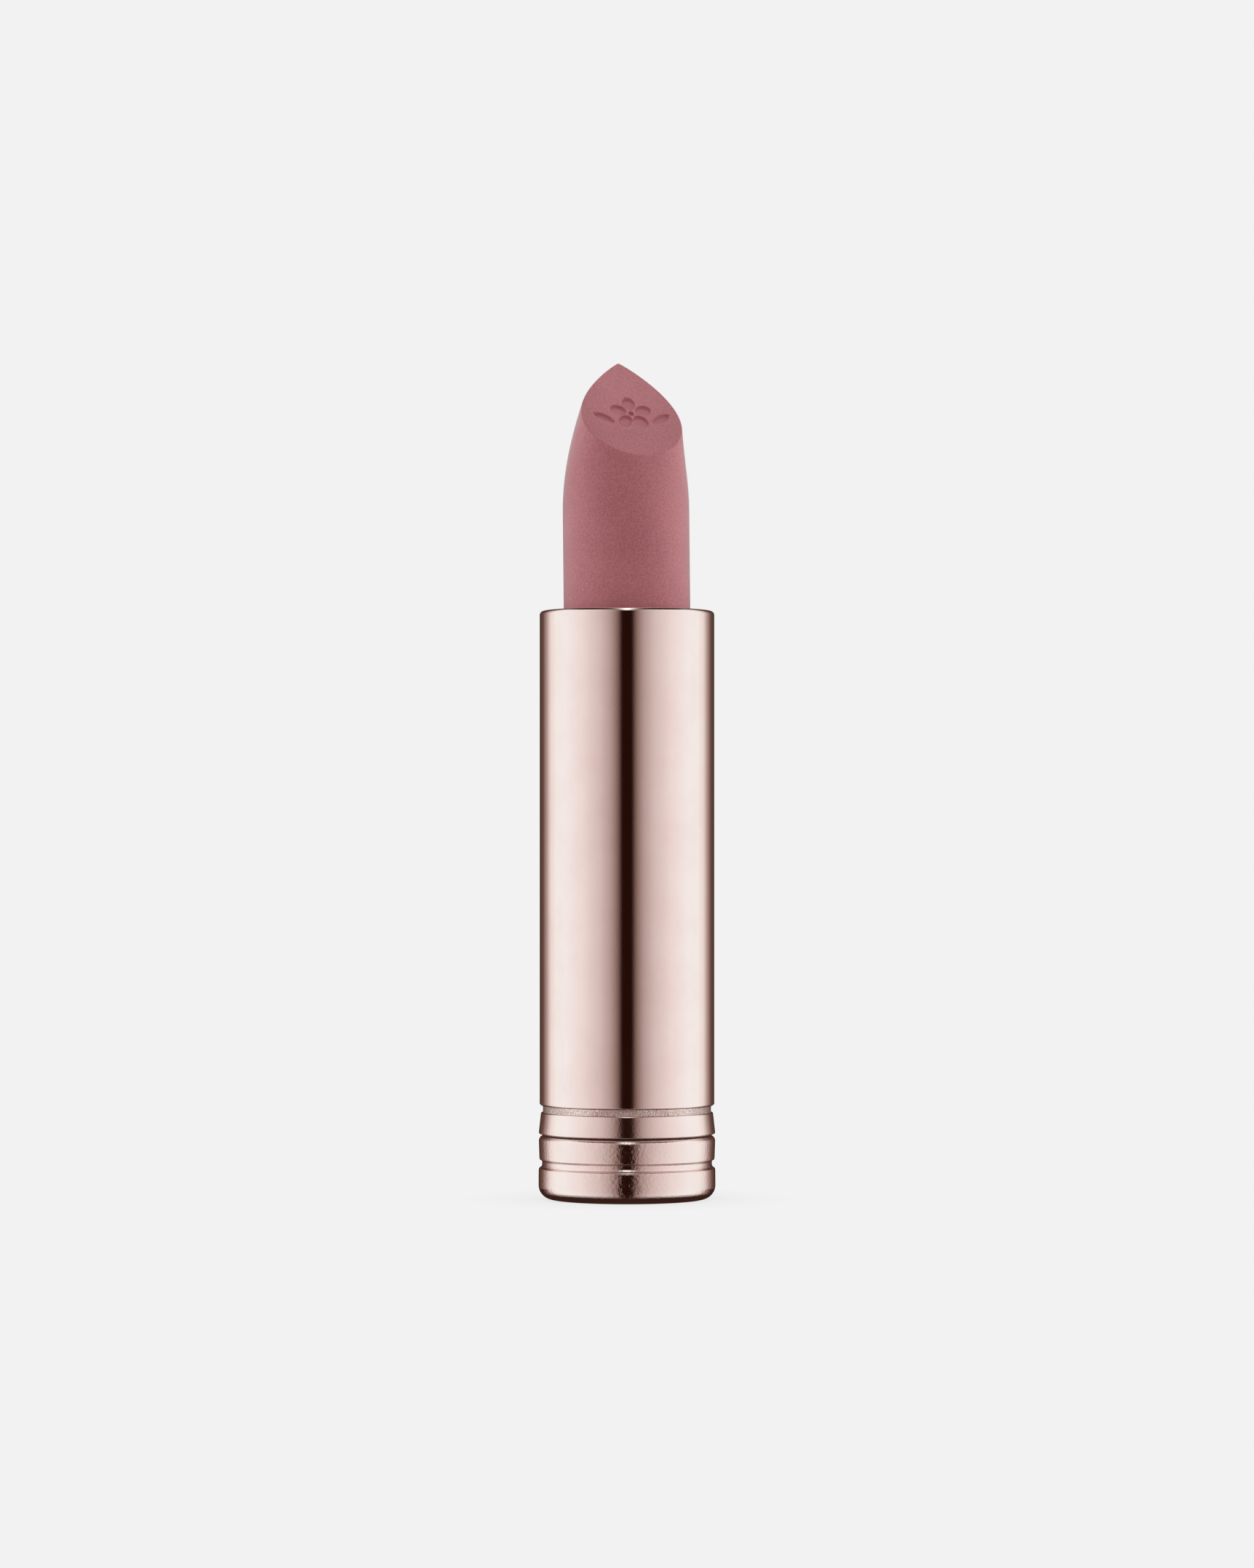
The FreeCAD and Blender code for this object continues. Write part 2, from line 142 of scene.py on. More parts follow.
# %% Outline with a radius at each corner
def rounded_outline(corners, hold=0.04, arc_steps=9):
    """Rounds a closed outline of (radius, height, rounding) corners, in millimetres.

    An arc of the given rounding touches both edges of its corner at distance
    rounding / tan(half the corner's angle), and is sampled evenly by angle. Each straight run
    also gets a point a little way from both its ends, which keeps its shading flat.
    """
    corners = np.array(corners, float)
    places = corners[:, :2]
    outline = []
    for index, (place, rounding) in enumerate(zip(places, corners[:, 2])):
        back = places[index - 1] - place
        ahead = places[(index + 1) % len(places)] - place
        back_way, ahead_way = back / np.linalg.norm(back), ahead / np.linalg.norm(ahead)
        half = math.acos(np.clip(back_way @ ahead_way, -1, 1)) / 2
        reach_back = rounding / math.tan(half)
        middle = (back_way + ahead_way) / np.linalg.norm(back_way + ahead_way)
        centre = place + middle * rounding / math.sin(half)
        start = place + back_way * reach_back - centre
        end = place + ahead_way * reach_back - centre
        swing = math.atan2(start[0] * end[1] - start[1] * end[0], start @ end)
        angles = math.atan2(start[1], start[0]) + swing * np.linspace(0, 1, arc_steps)
        arc = centre + rounding * np.stack([np.cos(angles), np.sin(angles)], -1)
        outline += [arc[:1] + back_way * hold, arc, arc[-1:] + ahead_way * hold]
    return np.concatenate(outline)


# %% [markdown]
# ## Turning an outline
#
# A lathe carries the outline round the axis. Blender has a Spin operator and a Screw modifier for
# this. Worked out as an array it is one line: radius times cosine and sine of the turn.


# %% Surface of revolution
TURN_STEPS = 288


def turned_points(outline):
    """Carries (radius, height) points in millimetres about Z: x, y = r cos t, r sin t."""
    turn = np.linspace(0, 2 * math.pi, TURN_STEPS, endpoint=False)
    radius, height = outline[:, :1] * MM, outline[:, 1:] * MM
    across, depth = radius * np.cos(turn), radius * np.sin(turn)
    return np.stack([across, depth, np.broadcast_to(height, across.shape)], -1).reshape(-1, 3)


def turned_piece(name, outline):
    """Turns a closed outline, with its faces outward whichever way round it runs.

    The sum of radius times the change of height is positive for one way and negative for the
    other.
    """
    quads = grid_faces(len(outline), TURN_STEPS, closed_rows=True)
    enclosed = outline[:, 0] @ (np.roll(outline[:, 1], -1) - np.roll(outline[:, 1], 1))
    if enclosed < 0:
        quads = quads[:, ::-1]
    return smooth_piece(name, turned_points(outline), quads)


# %% [markdown]
# ## The turning sleeve
#
# The sleeve is deep-drawn from thin aluminium. Its mouth is rolled in around the bullet, so the
# rim is a soft shoulder and not a cut edge, and the lip shows its thickness from above. One
# closed outline gives the outer wall, the lip and the inner wall together. Each corner is its
# radius, its height and its rounding.

# %% Outer sleeve
WALL = 0.43
LIP_RADIUS = 6.5
LIP_THICKNESS = 0.4
SHOULDER_ROUNDING = 0.38
HEM_DROP = 0.10

sleeve_skin = turned_piece("sleeve_skin", rounded_outline([
    (SLEEVE_RADIUS - WALL, SLEEVE_BOTTOM - HEM_DROP, 0.1),
    (SLEEVE_RADIUS, SLEEVE_BOTTOM - HEM_DROP, 0.2),
    (SLEEVE_RADIUS, SLEEVE_TOP, SHOULDER_ROUNDING),
    (LIP_RADIUS, SLEEVE_TOP, 0.18),
    (LIP_RADIUS, SLEEVE_TOP - LIP_THICKNESS, 0.15),
    (SLEEVE_RADIUS - WALL, SLEEVE_TOP - LIP_THICKNESS, 0.02),
]))
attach(sleeve_skin, "sleeve")
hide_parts("outer_sleeve")

# %% [markdown]
# ## The collar and the glide ring
#
# Under the sleeve a flared collar snaps over the core. Its waist is narrower than its skirt, so
# it is a short cone. In the neck above it sits the glide ring, a spacer with a hollow waist and a
# sparkling blasted surface, on which the sleeve turns.

# %% Snap collar and glide ring
COLLAR_WAIST = 8.22
COLLAR_LIP = 7.8
SKIRT_FLARE = -0.01
SEAM_LIFT = 0.12

collar_skin = turned_piece("collar_skin", rounded_outline([
    (COLLAR_RADIUS - WALL, COLLAR_BOTTOM + SEAM_LIFT, 0.05),
    (COLLAR_RADIUS + SKIRT_FLARE, COLLAR_BOTTOM + SEAM_LIFT, 0.15),
    (COLLAR_WAIST, COLLAR_TOP, 0.14),
    (COLLAR_LIP, COLLAR_TOP, 0.05),
    (COLLAR_LIP, COLLAR_TOP - WALL, 0.05),
    (COLLAR_WAIST - WALL, COLLAR_TOP - WALL, 0.05),
], hold=0.02))
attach(collar_skin, "base")
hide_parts("snap_collar")

GLIDE_BORE = 7.78
GLIDE_WAIST = 0.03
GLIDE_GAP = 0.08
GLIDE_ROWS = 25
glide_top = GLIDE_TOP - GLIDE_GAP
glide_height = np.linspace(0, 1, GLIDE_ROWS)
glide_wall = GLIDE_RADIUS - GLIDE_WAIST * np.sin(math.pi * glide_height)
glide_outline = np.concatenate([
    [(GLIDE_BORE, GLIDE_BOTTOM)],
    np.stack([glide_wall, GLIDE_BOTTOM + (glide_top - GLIDE_BOTTOM) * glide_height], -1),
    [(GLIDE_BORE, glide_top)],
])
glide_skin = turned_piece("glide_skin", glide_outline)
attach(glide_skin, "base")
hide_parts("glide_ring")

# %% [markdown]
# ## The base shell
#
# The base is one drawn cup: a rounded foot, a lower band, a pressed groove and an upper band. The
# groove is a soft hollow, and each of its slopes is steepest half-way, which draws a thin dark
# line all round it. The underside is recessed for a label. Unlike the rings, the cup has a
# closed bottom, so its outline starts and ends in a point on the axis.


# %% A turned piece that is closed on its axis
def turned_dish(name, outline, first_height, last_height):
    """Turns an open outline, and closes each end with a fan to a pole at the given height."""
    poles = np.array([[0, 0, first_height], [0, 0, last_height]]) * MM
    points = np.concatenate([turned_points(outline), poles])
    quads = grid_faces(len(outline), TURN_STEPS, closed_rows=False)
    return smooth_piece(name, points, quads, pole_fans(len(outline), TURN_STEPS))


# %% Base shell
FOOT_ROUNDING = 1.35
GROOVE_RADIUS = 8.12
GROOVE_MIDDLE = 3.45
GROOVE_HALF = 0.14
SHOULDER_RUN = 0.38
LOW_SHOULDER_RUN = 0.53
SHELL_LIFT = 0.27
SHOULDER_SOFTNESS = 0.3
GROOVE_SOFTNESS = 0.25
INNER_SOFTNESS = 0.2
TOP_ROUNDING = 0.55
TOP_TUCK = 0.6
STEP_ROUNDING = 0.10
LOW_STEPS = [(0.29, -0.48), (0.07, -0.34)]
HIGH_STEPS = [(0.035, 0.24), (0.23, 0.36)]
UPPER_BAND_FOOT = 8.38
RECESS_RADIUS = 6.3
RECESS_DEPTH = 0.3
SHELL_WALL = 0.4
AXIS_STEP = 0.5


def groove_steps(steps):
    """Corners of a slope: each step is how far out and how far up it is from the groove."""
    return [(GROOVE_RADIUS + out, GROOVE_MIDDLE + up, STEP_ROUNDING) for out, up in steps]


low_shoulder = GROOVE_MIDDLE - GROOVE_HALF - LOW_SHOULDER_RUN
high_shoulder = GROOVE_MIDDLE + GROOVE_HALF + SHOULDER_RUN
inside = SHELL_RADIUS - SHELL_WALL
shell_outline = rounded_outline([
    (AXIS_STEP, RECESS_DEPTH, 0.01),
    (RECESS_RADIUS, RECESS_DEPTH, 0.08),
    (RECESS_RADIUS, SHELL_BOTTOM, 0.12),
    (SHELL_RADIUS, SHELL_BOTTOM, FOOT_ROUNDING),
    (SHELL_RADIUS - 0.02, low_shoulder, SHOULDER_SOFTNESS),
    *groove_steps(LOW_STEPS),
    (GROOVE_RADIUS, GROOVE_MIDDLE - GROOVE_HALF, GROOVE_SOFTNESS),
    (GROOVE_RADIUS, GROOVE_MIDDLE + GROOVE_HALF, GROOVE_SOFTNESS),
    *groove_steps(HIGH_STEPS),
    (UPPER_BAND_FOOT, high_shoulder, SHOULDER_SOFTNESS),
    (SHELL_RADIUS - 0.01, SHELL_TOP + SHELL_LIFT, TOP_ROUNDING),
    (SHELL_RADIUS - TOP_TUCK - SHELL_WALL / 2, SHELL_TOP - 0.04, 0.02),
    (UPPER_BAND_FOOT - SHELL_WALL, high_shoulder + 0.2, SHOULDER_SOFTNESS),
    (GROOVE_RADIUS - SHELL_WALL, GROOVE_MIDDLE + GROOVE_HALF, INNER_SOFTNESS),
    (GROOVE_RADIUS - SHELL_WALL, GROOVE_MIDDLE - GROOVE_HALF, INNER_SOFTNESS),
    (inside, low_shoulder - 0.15, SHOULDER_SOFTNESS),
    (inside, SHELL_WALL, FOOT_ROUNDING - SHELL_WALL),
    (RECESS_RADIUS + SHELL_WALL, SHELL_WALL, 0.05),
    (RECESS_RADIUS + SHELL_WALL, RECESS_DEPTH + SHELL_WALL, 0.05),
    (AXIS_STEP, RECESS_DEPTH + SHELL_WALL, 0.01),
], hold=0.02, arc_steps=13)
shell_skin = turned_dish("shell_skin", shell_outline[1:-1], RECESS_DEPTH,
                         RECESS_DEPTH + SHELL_WALL)
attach(shell_skin, "base")
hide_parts("base_shell")

# %% [markdown]
# ## The bullet
#
# The bullet is a moulded stick of pomade. Above the rim it stays round for a while, then it
# narrows to a slanted flat face with the outline of a leaf: a pointed tip at the back and a round
# lower end at the front. A cylinder cut by a plane would give an ellipse with no tip. So the side
# is its own surface: each column of the grid is a cubic curve from the round stick to a point of
# the leaf.

# %% Sizes of the bullet
STICK_RADIUS = 6.05
STICK_LEAN = 0.0103
TAPER_START = 65.88
TAPER_RISE = 0.35
TIP_OFFSET = 2.04
FACE_TURN = math.radians(17.06)
FACE_FALL = math.tan(math.radians(49.4))
FACE_RUN = 8.14
FACE_HALF_WIDTH = 4.84
FACE_BOW = 0.28
FACE_POWER = 1.15
FACE_FULLNESS = 0.128
COLUMN_SHIFT = 0.124
FOOT_TILT_SIDE = 0.2
FOOT_TILT_FRONT = 0.15
SWELL = 0.25
SWELL_BACK = 0.19
SWELL_SIDE = 0.16
EDGE_SOFTNESS = 0.12
MARK_RUN = 4.5
MARK_WIDTH = -0.15
STICK_HEIGHTS = (BULLET_BOTTOM, 50.0, SLEEVE_TOP, 60.0, 65.0)
BULLET_COLUMNS = 480
SIDE_ROWS = 40
EDGE_ROWS = 9
FACE_ROWS = 112
FACE_STOP = 0.995
NEAR_EDGE = 1e-3

forward = np.array([math.sin(FACE_TURN), -math.cos(FACE_TURN)])
sideways = np.array([math.cos(FACE_TURN), math.sin(FACE_TURN)])
angle = np.linspace(-math.pi, math.pi, BULLET_COLUMNS, endpoint=False)


# %% The leaf and the stick
def leaned(points):
    """Shifts points above the rim sideways by the lean times their height above it."""
    shifted = points.copy()
    shifted[..., 0] -= STICK_LEAN * np.maximum(0, points[..., 2] - SLEEVE_TOP)
    return shifted


def on_face(run, width):
    """A point of the slanted plane: run is the level distance from the tip and width goes across
    it, so height = top - run * fall."""
    level = (run - TIP_OFFSET)[..., None] * forward + width[..., None] * sideways
    height = BULLET_TOP - run * FACE_FALL
    return leaned(np.concatenate([level, height[..., None]], -1))


def leaf_outline():
    """The leaf: run = length * |cos(a / 2)| ** power, width = half width * sin(a), a little fuller
    towards the tip and bowed to one side."""
    run = FACE_RUN * np.abs(np.cos(angle / 2)) ** FACE_POWER
    fuller = 1 - FACE_FULLNESS * np.cos(angle)
    width = FACE_HALF_WIDTH * np.sin(angle) * fuller - FACE_BOW * np.sin(math.pi * run / FACE_RUN)
    return run, width


def stick_ring(height):
    """A circle of the stick: x, y = r sin d, -r cos d, with d each column's turn from the front.

    The columns crowd a little towards the front, so that they run straight up to the leaf.
    """
    direction = FACE_TURN + angle - COLUMN_SHIFT * np.sin(angle)
    across, depth = STICK_RADIUS * np.sin(direction), -STICK_RADIUS * np.cos(direction)
    return leaned(np.stack([across, depth, np.broadcast_to(height, angle.shape)], -1))


leaf_run, leaf_width = leaf_outline()
leaf_edge = on_face(leaf_run, leaf_width)
print(f"leaf {leaf_width.max() - leaf_width.min():.2f} mm wide")

# %% [markdown]
# The side of the taper is a Bezier curve in each column. It leaves the stick upright and swells
# most at the back, behind the tip, where a real bullet keeps a full rounded shoulder. It stops a
# short way below the leaf's edge, and the face starts as far inside it. A quadratic curve joins
# the two, so the edge is soft like moulded wax.


# %% Side, soft edge and face
def taper_side(share):
    """Cubic Bezier from the stick's ring to the leaf's edge, at a share from 0 to 1."""
    tilt = FOOT_TILT_SIDE * np.sin(angle) + FOOT_TILT_FRONT * np.cos(angle)
    foot = stick_ring(TAPER_START + tilt)
    rise = (leaf_edge[:, 2] - foot[:, 2])[:, None]
    swell = SWELL + SWELL_BACK * (1 - np.cos(angle)) - SWELL_SIDE * np.sin(angle)
    level = np.array([1, 1, 0])
    lower = foot + np.array([-STICK_LEAN, 0, 1]) * TAPER_RISE * rise
    upper = leaf_edge + (foot - leaf_edge) * level * swell[:, None]
    upper = upper - np.array([0, 0, 1 / 3]) * rise
    share = np.asarray(share)[..., None]
    left = 1 - share
    curve = left ** 3 * foot + 3 * left ** 2 * share * lower
    return curve + 3 * left * share ** 2 * upper + share ** 3 * leaf_edge


def towards_middle(share):
    """A point of the face between its outline at share 0 and its middle at share 1."""
    run = leaf_run * (1 - share) + MARK_RUN * share
    width = leaf_width * (1 - share) + MARK_WIDTH * share
    return run, width


side_near = taper_side(np.full(BULLET_COLUMNS, 1 - NEAR_EDGE))
side_pace = np.linalg.norm(leaf_edge - side_near, axis=-1)
side_stop = 1 - EDGE_SOFTNESS * NEAR_EDGE / side_pace
middle = on_face(np.array(MARK_RUN), np.array(MARK_WIDTH))
face_start = EDGE_SOFTNESS / np.linalg.norm(leaf_edge - middle, axis=-1)

side_rows = [taper_side(side_stop * share) for share in np.linspace(0, 1, SIDE_ROWS)]
face_runs = [towards_middle(face_start + (1 - face_start) * share)
             for share in np.linspace(0, FACE_STOP, FACE_ROWS)]
below, above = side_rows[-1], on_face(*face_runs[0])
edge_rows = [(1 - u) ** 2 * below + 2 * u * (1 - u) * leaf_edge + u ** 2 * above
             for u in np.linspace(0, 1, EDGE_ROWS)[1:-1]]
print("side rows", len(side_rows), "face rows", len(face_runs))

# %% [markdown]
# ## The pressed flower
#
# The mould leaves a shallow mark in the face. Here it is a plain five-petal flower between two
# leaves. It could be a bump in the material, but a pressed mark has real walls that cast
# shadows, so it moves the points of the face. Each shape is a signed distance, negative inside,
# and the depth goes down smoothly where the distance crosses zero.

# %% Depth of the mark
MARK_DEPTH = 0.25
MARK_SOFTNESS = 0.05
PETALS = 5
PETAL_MIDDLE = 1.3
PETAL_LENGTH = 0.82
PETAL_BREADTH = 0.65
HEART = 0.26
LEAF_LENGTH = 1.12
LEAF_BREADTH = 0.45
LEAF_MIDDLE = (2.82, -0.64)
LEAF_SLANT = math.radians(32)


def ellipse_distance(along, over, length, breadth):
    """About the distance to an ellipse: how far out the point is, times the mean half axis."""
    return (np.hypot(along / length, over / breadth) - 1) * (length + breadth) / 2


def flower_distance(up, across):
    """Five ellipses round a small disc: the angle is folded into one petal's share of the turn."""
    spread, turn = np.hypot(up, across), np.arctan2(across, up)
    step = 2 * math.pi / PETALS
    folded = (turn + step / 2) % step - step / 2
    along, over = spread * np.cos(folded) - PETAL_MIDDLE, spread * np.sin(folded)
    petal = ellipse_distance(along, over, PETAL_LENGTH, PETAL_BREADTH)
    return np.minimum(petal, spread - HEART)


def leaf_distance(up, across):
    """Inside two crossing circles, which make a pointed leaf on each side of the flower."""
    out, rise = np.abs(across) - LEAF_MIDDLE[0], up - LEAF_MIDDLE[1]
    along = out * math.cos(LEAF_SLANT) + rise * math.sin(LEAF_SLANT)
    over = rise * math.cos(LEAF_SLANT) - out * math.sin(LEAF_SLANT)
    circle = (LEAF_LENGTH ** 2 + LEAF_BREADTH ** 2) / (2 * LEAF_BREADTH)
    offset = circle - LEAF_BREADTH
    return np.maximum(np.hypot(along, over - offset), np.hypot(along, over + offset)) - circle


def mark_depth(run, width):
    """Depth of the pressed mark under a point of the face, in millimetres."""
    up = -(run - MARK_RUN) * math.hypot(1, FACE_FALL)
    across = width - MARK_WIDTH
    distance = np.minimum(flower_distance(up, across), leaf_distance(up, across))
    inside_share = np.clip(0.5 - distance / (2 * MARK_SOFTNESS), 0, 1)
    return MARK_DEPTH * inside_share ** 2 * (3 - 2 * inside_share)


# %% Bullet mesh
downhill = on_face(np.array(1.0), np.array(0.0)) - on_face(np.array(0.0), np.array(0.0))
inward = np.cross(downhill, [*sideways, 0])
inward = inward / np.linalg.norm(inward) * -np.sign(inward[2])
face_depths = [mark_depth(run, width) for run, width in face_runs]
face_rows = [on_face(run, width) + depth[:, None] * inward
             for (run, width), depth in zip(face_runs, face_depths)]
stick_rows = [stick_ring(height) for height in STICK_HEIGHTS]
rows = stick_rows + side_rows + edge_rows + face_rows
poles = np.array([[0, 0, BULLET_BOTTOM], middle])
bullet_points = np.concatenate(rows + [poles])
bullet_quads = grid_faces(len(rows), BULLET_COLUMNS, closed_rows=False)
bullet_skin = smooth_piece("bullet_skin", bullet_points * MM, bullet_quads,
                           pole_fans(len(rows), BULLET_COLUMNS))
pressed = np.zeros(len(bullet_points), np.float32)
face_from = (len(rows) - len(face_rows)) * BULLET_COLUMNS
pressed[face_from:-len(poles)] = np.concatenate(face_depths) / MARK_DEPTH
bullet_skin.data.attributes.new("pressed", "FLOAT", "POINT").data.foreach_set("value", pressed)
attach(bullet_skin, "cup")
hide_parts("lipstick_bullet")

# %% [markdown]
# ## Shared surface effects
#
# Two effects turn up on several finishes: a fine grain, and the marks that turning and handling
# leave on metal. Each is a node group with named inputs, built once, so a material only states
# its own values. The groups put out heights and values, and the shader stays in the material.


# %% Node helpers
def add_node(tree, kind, inputs=None, **settings):
    """Adds a node, sets its properties, and fills or links its inputs."""
    node = tree.nodes.new(kind)
    for key, setting in settings.items():
        setattr(node, key, setting)
    for key, source in (inputs or {}).items():
        if isinstance(source, bpy.types.NodeSocket):
            tree.links.new(source, node.inputs[key])
        else:
            node.inputs[key].default_value = source
    return node


def math_node(tree, operation, *values):
    """Adds a Math node on one or two values and gives its result."""
    return add_node(tree, "ShaderNodeMath", dict(enumerate(values)), operation=operation).outputs[0]


def new_group(name, inputs, outputs):
    """Starts a node group with float inputs, given with their defaults, and float outputs."""
    tree = bpy.data.node_groups.new(name, "ShaderNodeTree")
    for socket, default in inputs.items():
        made = tree.interface.new_socket(socket, in_out="INPUT", socket_type="NodeSocketFloat")
        made.default_value = default
    for socket in outputs:
        tree.interface.new_socket(socket, in_out="OUTPUT", socket_type="NodeSocketFloat")
    return tree, tree.nodes.new("NodeGroupInput").outputs, tree.nodes.new("NodeGroupOutput").inputs


def noise(tree, where, scale, detail=2.0, roughness=0.5):
    """A noise pattern between 0 and 1 at the given coordinates."""
    made = add_node(tree, "ShaderNodeTexNoise", {"Vector": where, "Scale": scale, "Detail": detail,
                                                 "Roughness": roughness})
    return made.outputs["Fac"]


# %% Fine grain
FINE_SHARE = 0.75
DARKEST_TONE = 0.36
LIGHTEST_TONE = 0.64
grain_tree, grain_in, grain_out = new_group(
    "fine_grain", {"Grains per metre": 6000.0, "Patches per metre": 250.0}, ["Height", "Tone"])
grain_where = add_node(grain_tree, "ShaderNodeTexCoord").outputs["Object"]
grain_fine = noise(grain_tree, grain_where, grain_in["Grains per metre"], 3.0, 0.6)
grain_patch = noise(grain_tree, grain_where, grain_in["Patches per metre"], 2.0)
fine_part = math_node(grain_tree, "MULTIPLY", grain_fine, FINE_SHARE)
patch_part = math_node(grain_tree, "MULTIPLY", grain_patch, 1 - FINE_SHARE)
grain_mix = math_node(grain_tree, "ADD", fine_part, patch_part)
grain_tone = add_node(grain_tree, "ShaderNodeMapRange", {"Value": grain_mix,
                                                         "From Min": DARKEST_TONE,
                                                         "From Max": LIGHTEST_TONE}).outputs[0]
grain_tree.links.new(grain_fine, grain_out["Height"])
grain_tree.links.new(grain_tone, grain_out["Tone"])

# %% [markdown]
# Turned metal has rings: their height changes along the axis and is the same all round. So the
# ring pattern reads only the height above the foot. Handling leaves a haze in soft patches, and
# the drawn wall itself is a little wavy, which is what makes a long reflection tremble.

# %% Turning and handling marks
SMUDGES_PER_METRE = 160.0
HAZE_START = 0.42
HAZE_FULL = 0.72
marks_tree, marks_in, marks_out = new_group(
    "metal_marks", {"Rings per metre": 9000.0, "Ring share": 0.3, "Waves per metre": 700.0},
    ["Height", "Haze"])
marks_where = add_node(marks_tree, "ShaderNodeTexCoord").outputs["Object"]
marks_apart = add_node(marks_tree, "ShaderNodeSeparateXYZ", {"Vector": marks_where}).outputs
ring_place = add_node(marks_tree, "ShaderNodeCombineXYZ", {"Z": marks_apart["Z"]}).outputs[0]
rings = noise(marks_tree, ring_place, marks_in["Rings per metre"], 3.0, 0.7)
waves = noise(marks_tree, marks_where, marks_in["Waves per metre"], 2.0)
ring_height = math_node(marks_tree, "MULTIPLY", rings, marks_in["Ring share"])
marks_tree.links.new(math_node(marks_tree, "ADD", ring_height, waves), marks_out["Height"])
smudges = noise(marks_tree, marks_where, SMUDGES_PER_METRE, 4.0, 0.65)
haze = add_node(marks_tree, "ShaderNodeMapRange", {"Value": smudges, "From Min": HAZE_START,
                                                   "From Max": HAZE_FULL}).outputs[0]
marks_tree.links.new(haze, marks_out["Haze"])
print("groups", [group.name for group in bpy.data.node_groups])


# %% Material helpers
def new_material(name):
    """Starts a node material and gives its tree and its Principled shader."""
    material = bpy.data.materials.new(name)
    material.use_nodes = True
    tree = material.node_tree
    tree.nodes.clear()
    shader = tree.nodes.new("ShaderNodeBsdfPrincipled")
    output = tree.nodes.new("ShaderNodeOutputMaterial")
    tree.links.new(shader.outputs["BSDF"], output.inputs["Surface"])
    return material, tree, shader


def group_node(tree, group, **values):
    """Places a group in a material with its own values and gives its outputs."""
    node = add_node(tree, "ShaderNodeGroup", node_tree=bpy.data.node_groups[group])
    for socket, setting in values.items():
        node.inputs[socket.replace("_", " ")].default_value = setting
    return node.outputs


def between(tree, share, low, high):
    """A value that goes from low to high as share goes from 0 to 1."""
    return add_node(tree, "ShaderNodeMapRange", {"Value": share, "To Min": low,
                                                 "To Max": high}).outputs[0]


def colour_between(tree, share, low, high):
    """Goes from low to high as share goes from 0 to 1; each is a colour or another node's."""
    mix = add_node(tree, "ShaderNodeMix", data_type="RGBA")
    colours = {socket.name: socket for socket in mix.inputs if socket.type == "RGBA"}
    tree.links.new(share, mix.inputs["Factor"])
    for side, source in (("A", low), ("B", high)):
        if isinstance(source, bpy.types.NodeSocket):
            tree.links.new(source, colours[side])
        else:
            colours[side].default_value = (*source, 1)
    return next(socket for socket in mix.outputs if socket.type == "RGBA")


def set_values(shader, **values):
    """Sets constants on the shader's own sockets."""
    for socket, setting in values.items():
        shader.inputs[socket.replace("_", " ")].default_value = setting


def drive(tree, shader, colour, roughness, height, depth_mm):
    """Links a colour, a roughness and, as a bump of the given depth, a height from 0 to 1."""
    tree.links.new(colour, shader.inputs["Base Color"])
    tree.links.new(roughness, shader.inputs["Roughness"])
    bump = add_node(tree, "ShaderNodeBump", {"Height": height, "Distance": depth_mm * MM})
    tree.links.new(bump.outputs["Normal"], shader.inputs["Normal"])


def finish_piece(material, *pieces):
    """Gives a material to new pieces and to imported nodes, in each one's own slot."""
    for piece in pieces:
        if not piece.material_slots:
            piece.data.materials.append(material)
        for slot in piece.material_slots:
            slot.material = material


# %% [markdown]
# ## Rose-gold aluminium
#
# Polished aluminium is anodised and dyed, so it is a metal with a warm tint in its reflections
# and not a coloured paint. A metallic Principled shader does that. Its haze raises the roughness
# in patches, and its bump is a few microns deep, up to eighteen at the foot: enough to make
# reflections alive, too little to see as relief.

# %% Polished metal
ROSE = ((0.905, 0.745, 0.695), (0.87, 0.70, 0.65))


def marked_metal(name, tints, roughness, depth_mm, **marks):
    """Metal whose tint and roughness each go from clean to hazy, with its own turning marks."""
    material, tree, shader = new_material(name)
    metal_marks = group_node(tree, "metal_marks", **marks)
    set_values(shader, Metallic=1.0)
    drive(tree, shader, colour_between(tree, metal_marks["Haze"], *tints),
          between(tree, metal_marks["Haze"], *roughness), metal_marks["Height"], depth_mm)
    return material


sleeve_metal = marked_metal("rose_metal_drawn", ROSE, (0.08, 0.105), 0.0022,
                            Rings_per_metre=7000.0, Ring_share=0.1, Waves_per_metre=9000.0)
collar_metal = marked_metal("rose_metal_collar", ROSE, (0.10, 0.13), 0.006,
                            Rings_per_metre=9000.0, Ring_share=0.05, Waves_per_metre=5200.0)
foot_metal = marked_metal("rose_metal_foot", ROSE, (0.10, 0.14), 0.018,
                          Rings_per_metre=9000.0, Ring_share=0.02, Waves_per_metre=3400.0)
finish_piece(sleeve_metal, sleeve_skin)
finish_piece(collar_metal, collar_skin)
finish_piece(foot_metal, shell_skin)

# %% [markdown]
# ## Sparkling metal
#
# The glide ring is blasted before it is dyed. Its dents are too small to see one by one, but
# each faces its own way, so the ring sparkles. A strong grain in the bump gives the sparkle, and
# a darker tint in the pits is painted shade that gives it depth.


# %% Blasted glide ring
def grained(name, tints, roughness, depth_mm, grains=2500.0, **values):
    """A finish whose tint, roughness and height go together from pits to peaks of a grain."""
    material, tree, shader = new_material(name)
    set_values(shader, **values)
    grain = group_node(tree, "fine_grain", Grains_per_metre=grains)
    drive(tree, shader, colour_between(tree, grain["Tone"], *tints),
          between(tree, grain["Tone"], *roughness), grain["Height"], depth_mm)
    return material


# Painted shade: the first, much darker tint goes to the pits of the grain, the second to the peaks.
sparkling = grained("sparkling_metal", ((0.46, 0.30, 0.26), (1.0, 0.85, 0.79)), (0.28, 0.16), 0.06,
                    grains=8000.0, Metallic=1.0)
finish_piece(sparkling, glide_skin)
